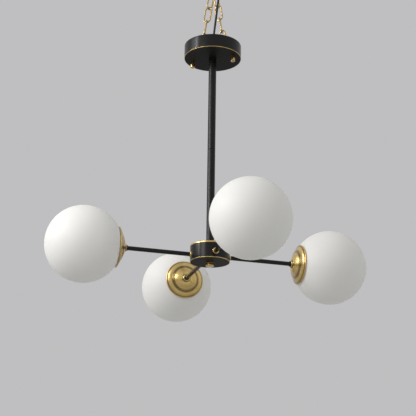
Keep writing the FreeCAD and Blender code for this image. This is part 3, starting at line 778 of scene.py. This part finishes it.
class CHANDELIER_OT_lampholders(bpy.types.Operator):
    """Mould the lampholders with their collar threads, and the washers that the glass sits on"""
    bl_idname = "chandelier.lampholders"
    bl_label = "Lampholders"

    def execute(self, context):
        crest, pitch, turns, well = 16.85, 1.6, 5, 8.1
        root = crest - 0.5
        thread = []
        for k in range(turns):
            start = 65.6 + k * pitch
            thread += [(start, root), (start + 0.35, crest), (start + 0.9, crest),
                       (start + 1.25, root)]
        body = [(73.5, 0.0), (73.5, well), (64.5, well), (64.5, root - 0.35), (65.2, root)] + thread
        body += [(74.3, root), (74.3, 18.3), (74.6, 18.5), (76.0, 18.5), (76.3, 18.2), (76.3, 6.5),
                 (80.5, 6.5), (80.5, 3.9), (76.3, 3.9), (76.3, 0.0)]
        washer = eased([(73.2, 17.3, 0.3), (73.2, 18.35, 0.3), (74.25, 18.35, 0.2),
                        (74.25, 17.3, 0.2)], closed=True, steps=3)
        for way in ARM_WAYS:
            piece = arm_lathe("lampholder_body", way, from_globe(body), sides=64)
            settle(piece, "black plastic", "fixture", "lampholder_" + way)
            piece = arm_lathe("glass_washer", way, from_globe(washer), closed=True, sides=64)
            settle(piece, "rubber", "fixture", "globe_gaskets")
        return {"FINISHED"}


class CHANDELIER_OT_arms(bpy.types.Operator):
    """Turn the four black arms with their threaded ends, and the brass washers at the drum"""
    bl_idname = "chandelier.arms"
    bl_label = "Arms"

    def execute(self, context):
        bore, thread, tube, shoulder = 3.0, 3.9, 4.25, 5.5
        arm = eased([(31.0, bore), (31.0, 3.7, 0.2), (31.3, thread, 0.2), (42.0, thread),
                     (42.0, 4.0, 0.1), (42.3, tube, 0.2), (167.1, tube, 0.2), (167.1, 5.1, 0.1),
                     (167.5, shoulder, 0.3), (169.4, shoulder, 0.2), (169.7, 5.2, 0.2),
                     (169.7, thread), (177.2, thread, 0.2), (177.5, 3.6, 0.2), (177.5, bore)],
                    closed=True, steps=3)
        ring = eased([(38.4, 3.95), (38.4, 6.4), (41.2, 6.4, 0.5), (42.0, 5.7, 0.5), (42.0, 3.95)],
                     closed=True, steps=4)
        for way, (x, y) in ARM_WAYS.items():
            piece = arm_lathe("arm_tube", way, arm, closed=True, sides=40)
            settle(piece, "black tube", "fixture", "arm_" + way)
            washer = arm_lathe("arm_washer", way, ring, closed=True, sides=56, longest=0.8)
            self.dish(washer, x, y)
            settle(washer, "trim", "fixture", "arm_collars")
        return {"FINISHED"}

    @staticmethod
    def dish(washer, x, y):
        """Bends the washer's inner face to the drum's wall, with a hair's gap."""
        gap = 0.02
        for vertex in washer.data.vertices:
            out = vertex.co.x * x + vertex.co.y * y
            aside = vertex.co.x * y - vertex.co.y * x
            wall = math.sqrt((DRUM * MM) ** 2 - aside ** 2)
            if out < wall:
                vertex.co += Vector((x, y, 0)) * (wall + gap * MM - out)


# ---- hub and rod ----

class CHANDELIER_OT_hub(bpy.types.Operator):
    """Turn the drum hub: black wall, brass lid, lower ring, base plate and finial"""
    bl_idname = "chandelier.hub"
    bl_label = "Drum hub"

    def execute(self, context):
        top, foot, under_lid = HUB_TOP, HUB_FOOT, HUB_TOP - LID_EDGE
        wall = [(foot + THIN_RING, DRUM_INSIDE), (foot + THIN_RING, DRUM, 0.25),
                (under_lid, DRUM, 0.25), (under_lid, DRUM_INSIDE)]
        lid = [(top, NIPPLE_HOLE), (top, 39.0, 0.9), (top - 1.2, 40.2, 0.7), (top - 3.4, 40.2, 0.35),
               (under_lid, 39.7, 0.3), (under_lid, 37.45), (top - 6.4, 37.45, 0.3),
               (top - 6.4, 35.65, 0.3), (under_lid, 35.65), (under_lid, NIPPLE_HOLE)]
        ring = [(foot, 38.9), (foot, 39.2, 0.2), (foot + 0.8, 39.75, 0.6),
                (foot + THIN_RING, 39.2, 0.2), (foot + THIN_RING, 38.9)]
        plate = [(foot + 0.2, NIPPLE_HOLE), (foot + 0.2, 38.5, 0.3), (foot + 0.5, 38.8, 0.2),
                 (foot + THIN_RING, 38.8), (foot + THIN_RING, 37.4), (foot + 3.0, 37.4, 0.3),
                 (foot + 3.0, NIPPLE_HOLE)]
        for name, outline, finish, node in (("drum_wall", wall, "black", "hub_body"),
                                            ("drum_lid", lid, "trim", "hub_lid"),
                                            ("drum_lower_ring", ring, "trim", "hub_trim_ring"),
                                            ("drum_base", plate, "black underside",
                                             "hub_base_plate")):
            piece = turned(name, eased(outline, closed=True), closed=True, sides=144)
            settle(piece, finish, "fixture", node)
        knob = eased([(foot - 7.45, 0), (foot - 7.45, NIPPLE_HOLE), (foot + 0.15, NIPPLE_HOLE),
                      (foot + 0.15, 7.4, 0.4), (foot - 2.35, 7.4, 0.3), (foot - 2.5, 7.1, 0.2),
                      (foot - 2.75, 7.2, 0.2), (foot - 3.0, 8.2, 0.6), (foot - 7.8, 8.2, 1.1),
                      (foot - 9.05, 7.2, 1.1), (foot - 9.05, 0)], steps=6)
        settle(turned("finial_knob", knob), "trim", "hub_finial_body", "hub_finial")
        return {"FINISHED"}


class CHANDELIER_OT_rod(bpy.types.Operator):
    """Make the rod's two lengths, which meet at a fine seam"""
    bl_idname = "chandelier.rod"
    bl_label = "Rod"

    def execute(self, context):
        threaded, inside = 18.0, 6.6
        for name, node, low in (("rod_upper_length", "upper_rod", ROD_SEAM),
                                ("rod_lower_length", "lower_rod", HUB_TOP)):
            high = low + ROD_LENGTH
            outline = eased([(low, NIPPLE_HOLE), (low, ROD - 0.5, 0.1), (low + 0.5, ROD, 0.4),
                             (high - 0.5, ROD, 0.4), (high, ROD - 0.5, 0.1), (high, NIPPLE_HOLE),
                             (high - threaded, NIPPLE_HOLE), (high - threaded, inside),
                             (low + threaded, inside), (low + threaded, NIPPLE_HOLE)],
                            closed=True, steps=4)
            piece = turned(name, outline, closed=True, sides=72, longest=12.0)
            settle(piece, "black tube", "fixture", node)
        return {"FINISHED"}


# ---- canopy ----

class CHANDELIER_OT_canopy(bpy.types.Operator):
    """Make the round canopy with its brass lower ring and its two thumb nuts"""
    bl_idname = "chandelier.canopy"
    bl_label = "Canopy"

    def execute(self, context):
        foot, top, floor = CANOPY_FOOT, CANOPY_TOP, CANOPY_FOOT + 1.2
        stud_places = [chain_plane(side * STUD_OFFSET, 0) for side in (-1, 1)]
        shell = eased([(foot, NIPPLE_HOLE), (foot, 58.8), (foot + THIN_RING, 58.8),
                       (foot + THIN_RING, CANOPY, 0.2), (top, CANOPY, 0.5),
                       (top, CANOPY_INSIDE, 0.4), (floor, CANOPY_INSIDE, 2.6), (floor, NIPPLE_HOLE)],
                      closed=True, steps=7)
        piece = turned("canopy_drum", shell, closed=True, sides=160)
        drilled(piece, [(p.x, p.y, 2.2, foot - 1, foot + 3) for p in stud_places])
        settle(piece, "black", "fixture", "canopy_shell")
        piece.data.materials.append(finish_of("black underside"))
        for face in piece.data.polygons:
            face.material_index = 1 if face.normal.z < -0.9 else 0
        ring = eased([(foot, 58.9), (foot, 59.15, 0.2), (foot + 0.8, 59.8, 0.6),
                      (foot + THIN_RING, 59.15, 0.2), (foot + THIN_RING, 58.9)], closed=True)
        piece = turned("canopy_lower_ring", ring, closed=True, sides=160)
        settle(piece, "trim", "fixture", "canopy_trim_ring")
        head, screw = foot - 0.05, 2.08
        nut = [(head - 9.6, 0.0), (head - 9.6, screw)] + eased(
            [(head, screw), (head, 3.7, 0.3), (head - 4.4, 3.7, 0.15), (head - 4.5, 4.7, 0.8),
             (head - 12.2, 4.7, 1.6), (head - 13.0, 3.1, 1.2), (head - 13.0, 0)], steps=6)
        for side, place in zip(("left", "right"), stud_places):
            piece = turned("thumb_nut_" + side, nut, centre=place, sides=56)
            settle(piece, "trim", "canopy_nut_%s_body" % side, "canopy_nut_" + side)
        return {"FINISHED"}


class CHANDELIER_OT_crossbar(bpy.types.Operator):
    """Make what carries the canopy inside: crossbar screws, closed chain eyes and wiring block
    screws
    """
    bl_idname = "chandelier.crossbar"
    bl_label = "Crossbar fittings"

    def execute(self, context):
        bar_top = CANOPY_FOOT + 16.0
        for hand, side in ((-1, "left"), (1, "right")):
            self.make_eye(hand, side, bar_top)
            self.make_screw(hand, side, bar_top)
        block_top = CANOPY_FOOT + 10.0
        head = eased([(block_top + 0.9, 0), (block_top + 0.9, 2.2, 0.1),
                      (block_top + 2.9, 2.2, 0.3), (block_top + 2.9, 0)])
        for k, along in enumerate((-7.0, 3.0, 13.0)):
            piece = turned("wiring_screw_%d" % (k + 1), head, centre=chain_plane(along, -19.4),
                           sides=32)
            settle(piece, "chain", "fixture")
        return {"FINISHED"}

    @staticmethod
    def make_eye(hand, side, bar_top):
        """A closed ring on a stem that is riveted through the crossbar."""
        points = 48
        level, stem_foot = EYE_LEVEL - EYE_RING, bar_top - 2.5
        place = chain_plane(hand * CHAIN_HALF_SPAN, 0)
        twist = math.radians(LINK_TWISTS[side][4]) + CHAIN_PLANE
        flat, centre = Vector((-math.sin(twist), math.cos(twist), 0)), place + Vector((0, 0, level))
        path = [centre + (flat * math.cos(t) + Vector((0, 0, 1)) * math.sin(t)) * EYE_RING
                for t in np.linspace(0, 2 * math.pi, points, endpoint=False)]
        ring = wire("chain_eye_ring_" + side, path, [LINK_WIRE] * points, closed=True)
        settle(ring, "chain", "fixture", "chain_eyes")
        stem = eased([(stem_foot - 2.0, 0), (stem_foot - 2.0, 3.2, 0.5), (stem_foot, 4.0, 0.2),
                      (stem_foot, 2.5), (bar_top, 2.5), (bar_top, 4.5, 0.2),
                      (bar_top + 1.6, 4.5, 0.5), (bar_top + 2.6, 2.4, 0.8),
                      (level - EYE_RING, 2.0, 0.3), (level - EYE_RING, 0)])
        piece = turned("chain_eye_stem_" + side, stem, centre=place, sides=40)
        settle(piece, "chain", "fixture", "chain_eyes")

    @staticmethod
    def make_screw(hand, side, bar_top):
        """A slotless round-headed screw whose thread hangs through the canopy's floor."""
        low, thread = CANOPY_FOOT - 9.0, []
        for k in range(16):
            at = low + 1.0 + k * 0.8
            thread += [(at, 1.75), (at + 0.4, 2.0)]
        screw = [(low, 0), (low, 1.5)] + thread + [(bar_top, 2.0)]
        screw += arc_through((bar_top, 4.0), (bar_top + 1.7, 3.4), (bar_top + 2.4, 1.8), 6)
        screw += [(bar_top + 2.4, 1.5), (bar_top + 1.4, 1.2), (bar_top + 1.4, 0)]
        piece = turned("crossbar_screw_" + side, screw, centre=chain_plane(hand * STUD_OFFSET, 0),
                       sides=40)
        settle(piece, "steel", "fixture", "crossbar_studs")


# ---- chains, hook and ceiling plate ----

def link_levels():
    """Each link's end bends, measured down the chain from the hook's wire, and the eye's."""
    levels, hold = [], 0.0
    for number, gap in enumerate(LINK_GAPS):
        top = hold - LINK_WIRE - (LINK_WIRE if number else HOOK_WIRE) - gap
        levels.append((top, top + LINK_LENGTH))
        hold = top + LINK_LENGTH
    return levels[:5], levels[5][0]


def link_path(side, number):
    """The middle line of one link where it hangs, from the middle of one long side round."""
    hand = {"left": -1, "right": 1}[side]
    levels, eye = link_levels()
    lean = math.asin(CHAIN_HALF_SPAN / eye)
    top, bottom = levels[number - 1]
    spread = {1: (-hand * TOP_LINK_SPREAD,) * 2, 2: (-hand * TOP_LINK_SPREAD, 0.0)}
    high, low = spread.get(number, (0.0, 0.0))
    twist = LINK_TWISTS[side][number - 1] + (90 if number % 2 == 0 else 0)
    turn = (Matrix.Rotation(CHAIN_PLANE, 3, "Z") @ Matrix.Rotation(-hand * lean, 3, "Y")
            @ Matrix.Rotation(-math.atan2(high - low, LINK_LENGTH), 3, "X")
            @ Matrix.Rotation(math.radians(twist), 3, "Z"))
    middle = (top + bottom) / 2
    centre = chain_plane(hand * middle * math.sin(lean), (high + low) / 2,
                         -HOOK_DROP - middle * math.cos(lean))
    half = LINK_LENGTH / 2 - LINK_BEND

    def bend(level, first, last):
        return [(LINK_BEND * math.cos(t), level + LINK_BEND * math.sin(t))
                for t in np.linspace(first, last, 25)]

    points = [(LINK_BEND, z) for z in np.linspace(0, half, 6)[:-1]] + bend(half, 0, math.pi)
    points += [(-LINK_BEND, z) for z in np.linspace(half, -half, 12)[1:-1]]
    points += bend(-half, math.pi, 2 * math.pi)
    points += [(LINK_BEND, z) for z in (*np.linspace(-half, 0, 6)[1:-1], -0.35, -0.12)]
    return [centre + turn @ Vector((x, 0, z)) for x, z in points]


class CHANDELIER_OT_chains(bpy.types.Operator):
    """Bend the ten chain links, each closed at a butt joint on one long side"""
    bl_idname = "chandelier.chains"
    bl_label = "Chains"

    def execute(self, context):
        seam_depth = 0.28
        for side in ("left", "right"):
            for number in range(1, 6):
                path = link_path(side, number)
                radii = [LINK_WIRE] * (len(path) - 1) + [LINK_WIRE - seam_depth]
                piece = wire("%s_brass_link_%d" % (side, number), path, radii, sides=22,
                             closed=True)
                settle(piece, "chain", "link_pair_%d" % number,
                       "%s_chain_link_%d" % (side, number))
        return {"FINISHED"}


def hook_path():
    """The middle line of the hook's wire, down from inside the ceiling plate's boss."""
    bowl = -HOOK_DROP + HOOK_BOWL
    rise = math.sqrt((HOOK_NECK + HOOK_BOWL) ** 2 - HOOK_NECK ** 2)
    meet = math.atan2(rise, HOOK_NECK)
    points = [(0.0, z) for z in np.linspace(-3.2, bowl + rise, 6)]
    points += [(HOOK_NECK + HOOK_NECK * math.cos(t), bowl + rise + HOOK_NECK * math.sin(t))
               for t in np.linspace(math.pi, math.pi + meet, 14)[1:]]
    points += [(HOOK_BOWL * math.cos(t), bowl + HOOK_BOWL * math.sin(t))
               for t in np.linspace(meet, math.radians(HOOK_TIP_DEG - 360), 56)[1:]]
    return [chain_plane(0, y, z) for y, z in points]


class CHANDELIER_OT_ceiling(bpy.types.Operator):
    """Make the ceiling plate, its hook and the gland that takes the cord"""
    bl_idname = "chandelier.ceiling"
    bl_label = "Ceiling fitting"

    def execute(self, context):
        plate = eased([(0, 0), (0, 48.0, 0.3), (-4.0, 48.0, 0.8), (-5.0, 47.0, 0.6),
                       (-5.0, 11.0, 0.8), (-12.0, 11.0, 0.8), (-13.0, 10.0, 0.4), (-13.0, 2.3),
                       (-3.0, 2.3), (-3.0, 0)])
        piece = turned("ceiling_disc", plate, sides=144)
        gland = chain_plane(CORD_HEAD, CORD_ASIDE)
        drilled(piece, [(x, y, radius, -6, 1)
                        for x, y, radius in ((36, 0, 2.6), (-36, 0, 2.6), (gland.x, gland.y, 4.0))])
        settle(piece, "black", "ceiling_fitting", "ceiling_plate")
        path = hook_path()
        piece = wire("hook_wire", path, [HOOK_WIRE] * len(path), sides=28)
        settle(piece, "chain", "ceiling_fitting", "ceiling_hook")
        cap = eased([(-0.3, 0), (-0.3, 3.9), (-5.0, 3.9), (-5.0, 7.0, 0.3), (-10.4, 7.0, 0.8),
                     (-12.0, 5.4, 0.8), (-20.0, 3.3, 0.4), (-20.0, 0)])
        piece = turned("cord_gland", cap, centre=gland, sides=56)
        settle(piece, "black plastic", "ceiling_fitting", "ceiling_gland")
        return {"FINISHED"}


# ---- supply cord ----


def taut_line(first, last):
    """Points along a straight stretch, read from its own smooth curve."""
    curve = bpy.data.curves.new("stretch", "CURVE")
    curve.dimensions = "3D"
    spline = curve.splines.new("NURBS")
    spline.points.add(2)
    for point, share in zip(spline.points, (0.0, 0.5, 1.0)):
        point.co = (*(first + (last - first) * share), 1.0)
    spline.order_u = 3
    spline.use_endpoint_u = True
    holder = bpy.data.objects.new("stretch", curve)
    bpy.context.scene.collection.objects.link(holder)
    bpy.context.view_layer.update()
    mesh = bpy.data.meshes.new_from_object(
        holder.evaluated_get(bpy.context.evaluated_depsgraph_get()))
    points = [v.co.copy() for v in mesh.vertices]
    bpy.data.meshes.remove(mesh)
    bpy.data.objects.remove(holder)
    bpy.data.curves.remove(curve)
    return points


class CHANDELIER_OT_cord(bpy.types.Operator):
    """Pull the supply cord straight from the wiring block to the ceiling gland, in stretches that
    end at the listed borders down the chain"""
    bl_idname = "chandelier.cord"
    bl_label = "Supply cord"

    def execute(self, context):
        radius = context.scene.chandelier.cord.radius / MM
        head = chain_plane(CORD_HEAD, CORD_ASIDE, CORD_TOP)
        foot = chain_plane(CORD_FOOT, CORD_ASIDE, CANOPY_FOOT + 10.3)
        places = [head + (foot - head) * ((z - head.z) / (foot.z - head.z))
                  for z in (head.z, *CORD_BORDERS, foot.z)]
        for k, (upper, lower) in enumerate(zip(places, places[1:])):
            line = taut_line(upper * MM, lower * MM)
            piece = wire("supply_cord_stretch_%d" % (k + 1), [p / MM for p in line],
                         [radius] * len(line), sides=24)
            piece.data.materials.append(finish_of("cord"))
            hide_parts("supply_cord")
            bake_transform(piece)
        return {"FINISHED"}


# ---- nodes that keep their own shape ----

KEPT_NODES = {
    "steel": ("crossbar", "canopy_nipple", "canopy_locknut", "rod_coupler", "hub_nipple",
              "hub_locknuts", "arm_locknuts"),
    "chain": ("hook_locknut",),
    "white plastic": ("terminal_block",),
    "cord": ("rod_cable", "arm_wires"),
}


class CHANDELIER_OT_inner_parts(bpy.types.Operator):
    """Give the inner nuts, nipples, leads, crossbar and wiring block their finishes"""
    bl_idname = "chandelier.inner_parts"
    bl_label = "Inner parts"

    def execute(self, context):
        for kind, nodes in KEPT_NODES.items():
            for node in nodes:
                materials = frame["nodes"][node].data.materials
                materials.clear()
                materials.append(finish_of(kind))
        return {"FINISHED"}


# ---- stage ----

# The camera's place and turn round the light, in millimetres and degrees, and its focal length.
CAMERA = {"distance": 2195.3, "below_arms": 646.8, "azimuth": -16.483, "rise": 18.803,
          "aside": 0.136, "roll": 0.834, "focal_px": 1154.3, "image_px": 416.0}
FLOOR_HALF_M = 6.0
DAYLIGHT, WARM_WHITE = (1.0, 0.995, 0.98), (1.0, 0.985, 0.96)

# Each lamp's setting, turn in degrees clockwise from the camera, distance, height, the height that
# it faces on the light's axis, width and height of its panel, all in metres, and colour.
LAMPS = {
    "window_pane": ("pane", 68, 2.4, 0.5, -0.45, 0.10, 1.2, DAYLIGHT),
    "window_glow": ("glow", 80, 1.6, 0.0, -0.6, 0.6, 1.1, DAYLIGHT),
    "front_light": ("fill", 40, 1.3, -0.2, -0.6, 0.4, 0.8, WARM_WHITE),
}


def round_the_light(turn_deg, distance, height):
    """A place turned clockwise, as seen from above, from the camera's own direction."""
    angle = math.radians(CAMERA["azimuth"] - turn_deg)
    return Vector((math.sin(angle) * distance, -math.cos(angle) * distance, height))


class CHANDELIER_OT_stage(bpy.types.Operator):
    """Set the plain pale floor, the soft studio light and the camera"""
    bl_idname = "chandelier.stage"
    bl_label = "Stage"

    def execute(self, context):
        look = context.scene.chandelier.stage
        self.set_floor(look)
        self.set_world(context.scene, look)
        self.set_lamps(look)
        self.set_camera(context.scene)
        context.scene.view_settings.view_transform = "Standard"
        return {"FINISHED"}

    @staticmethod
    def set_floor(look):
        mesh = bpy.data.meshes.new("floor")
        mesh.from_pydata([(x * FLOOR_HALF_M, y * FLOOR_HALF_M, -look.drop)
                          for x, y in ((-1, -1), (1, -1), (1, 1), (-1, 1))], [], [(0, 1, 2, 3)])
        floor = bpy.data.objects.new("floor", mesh)
        bpy.context.scene.collection.objects.link(floor)
        finish = Finish("Plain floor", Roughness=0.85)
        cloud = finish.effect("Patina", Cloud_scale=3.0, Speckle_scale=120.0)
        finish.feed(finish.between(cloud["Cloud"], tint(look.floor, 0.985), look.floor),
                    finish.shader["Base Color"])
        mesh.materials.append(finish.material)

    @staticmethod
    def set_world(scene, look):
        """Even light from all round, and the backdrop where the camera, gloss or glass looks."""
        scene.world = scene.world or bpy.data.worlds.new("Studio")
        scene.world.use_nodes = True
        nodes = Nodes(scene.world.node_tree)
        nodes.tree.nodes.clear()
        seen = nodes.add("Background", 0, {"Color": look.backdrop})
        lit = nodes.add("Background", 0, {"Color": (1.0, 0.992, 0.97), "Strength": look.room})
        shown = nodes.math("ADD", nodes.add("LightPath", "Is Camera Ray"),
                           nodes.add("LightPath", "Is Glossy Ray"))
        shown = nodes.math("ADD", shown, nodes.add("LightPath", "Is Transmission Ray"), clamp=True)
        output = nodes.tree.nodes.new("ShaderNodeOutputWorld")
        nodes.feed(nodes.add("MixShader", 0, {"Fac": shown, 1: lit, 2: seen}),
                   output.inputs["Surface"])

    @staticmethod
    def set_lamps(look):
        """Large rectangular lamps that face the light."""
        for name, (power, turn, distance, height, aim, wide, tall, colour) in LAMPS.items():
            light = bpy.data.lights.new(name, "AREA")
            light.shape, light.size, light.size_y = "RECTANGLE", wide, tall
            light.energy, light.color = getattr(look, power), colour
            lamp = bpy.data.objects.new(name, light)
            lamp.location = round_the_light(turn, distance, height)
            facing = Vector((0, 0, aim)) - lamp.location
            lamp.rotation_euler = facing.to_track_quat("-Z", "Y").to_euler()
            bpy.context.scene.collection.objects.link(lamp)

    @staticmethod
    def set_camera(scene):
        place = round_the_light(0, CAMERA["distance"], ARM_LEVEL - CAMERA["below_arms"]) * MM
        heading = math.radians(CAMERA["azimuth"] + CAMERA["aside"])
        rise, roll = math.radians(CAMERA["rise"]), math.radians(CAMERA["roll"])
        ahead = Vector((-math.sin(heading) * math.cos(rise), math.cos(heading) * math.cos(rise),
                        math.sin(rise)))
        right = Vector((math.cos(heading), math.sin(heading), 0))
        up = right.cross(ahead)
        right, up = (right * math.cos(roll) + up * math.sin(roll),
                     up * math.cos(roll) - right * math.sin(roll))
        data = bpy.data.cameras.new("camera")
        data.sensor_fit, data.sensor_width, data.sensor_height = "HORIZONTAL", 36.0, 36.0
        data.lens = CAMERA["focal_px"] / CAMERA["image_px"] * data.sensor_width
        data.clip_start, data.clip_end = 0.05, 50.0
        camera = bpy.data.objects.new("camera", data)
        camera.matrix_world = (Matrix.Translation(place)
                               @ Matrix((right, up, -ahead)).transposed().to_4x4())
        scene.collection.objects.link(camera)
        scene.camera = camera


# ---- add-on ----

OPERATORS = (CHANDELIER_OT_stage, CHANDELIER_OT_globes, CHANDELIER_OT_lamps, CHANDELIER_OT_cups,
             CHANDELIER_OT_lampholders, CHANDELIER_OT_arms, CHANDELIER_OT_hub, CHANDELIER_OT_rod,
             CHANDELIER_OT_canopy, CHANDELIER_OT_crossbar, CHANDELIER_OT_chains,
             CHANDELIER_OT_ceiling, CHANDELIER_OT_cord, CHANDELIER_OT_inner_parts)


class CHANDELIER_PT_panel(bpy.types.Panel):
    """Lists the chandelier's pieces and looks in the sidebar"""
    bl_idname = "CHANDELIER_PT_panel"
    bl_label = "Chandelier"
    bl_space_type = "VIEW_3D"
    bl_region_type = "UI"
    bl_category = "Chandelier"

    def draw(self, context):
        layout = self.layout
        look = context.scene.chandelier
        for title, group in (("Globes", look.globe), ("Brass", look.brass),
                             ("Chains", look.chain), ("Black lacquer", look.black),
                             ("Cord", look.cord), ("Stage", look.stage)):
            box = layout.box()
            box.label(text=title)
            for key in group.__annotations__:
                box.prop(group, key)
        for operator in OPERATORS:
            layout.operator(operator.bl_idname)


CLASSES = (ChandelierGlobeLook, ChandelierBrassLook, ChandelierChainLook, ChandelierBlackLook,
           ChandelierCordLook, ChandelierStageLook, ChandelierSettings, *OPERATORS,
           CHANDELIER_PT_panel)


def register():
    for cls in CLASSES:
        bpy.utils.register_class(cls)
    bpy.types.Scene.chandelier = PointerProperty(type=ChandelierSettings)


def unregister():
    del bpy.types.Scene.chandelier
    for cls in reversed(CLASSES):
        bpy.utils.unregister_class(cls)


def main():
    """Builds every piece in order."""
    register()
    for operator in OPERATORS:
        name = operator.bl_idname.split(".")[1]
        getattr(bpy.ops.chandelier, name)()


if __name__ == "__main__":
    main()
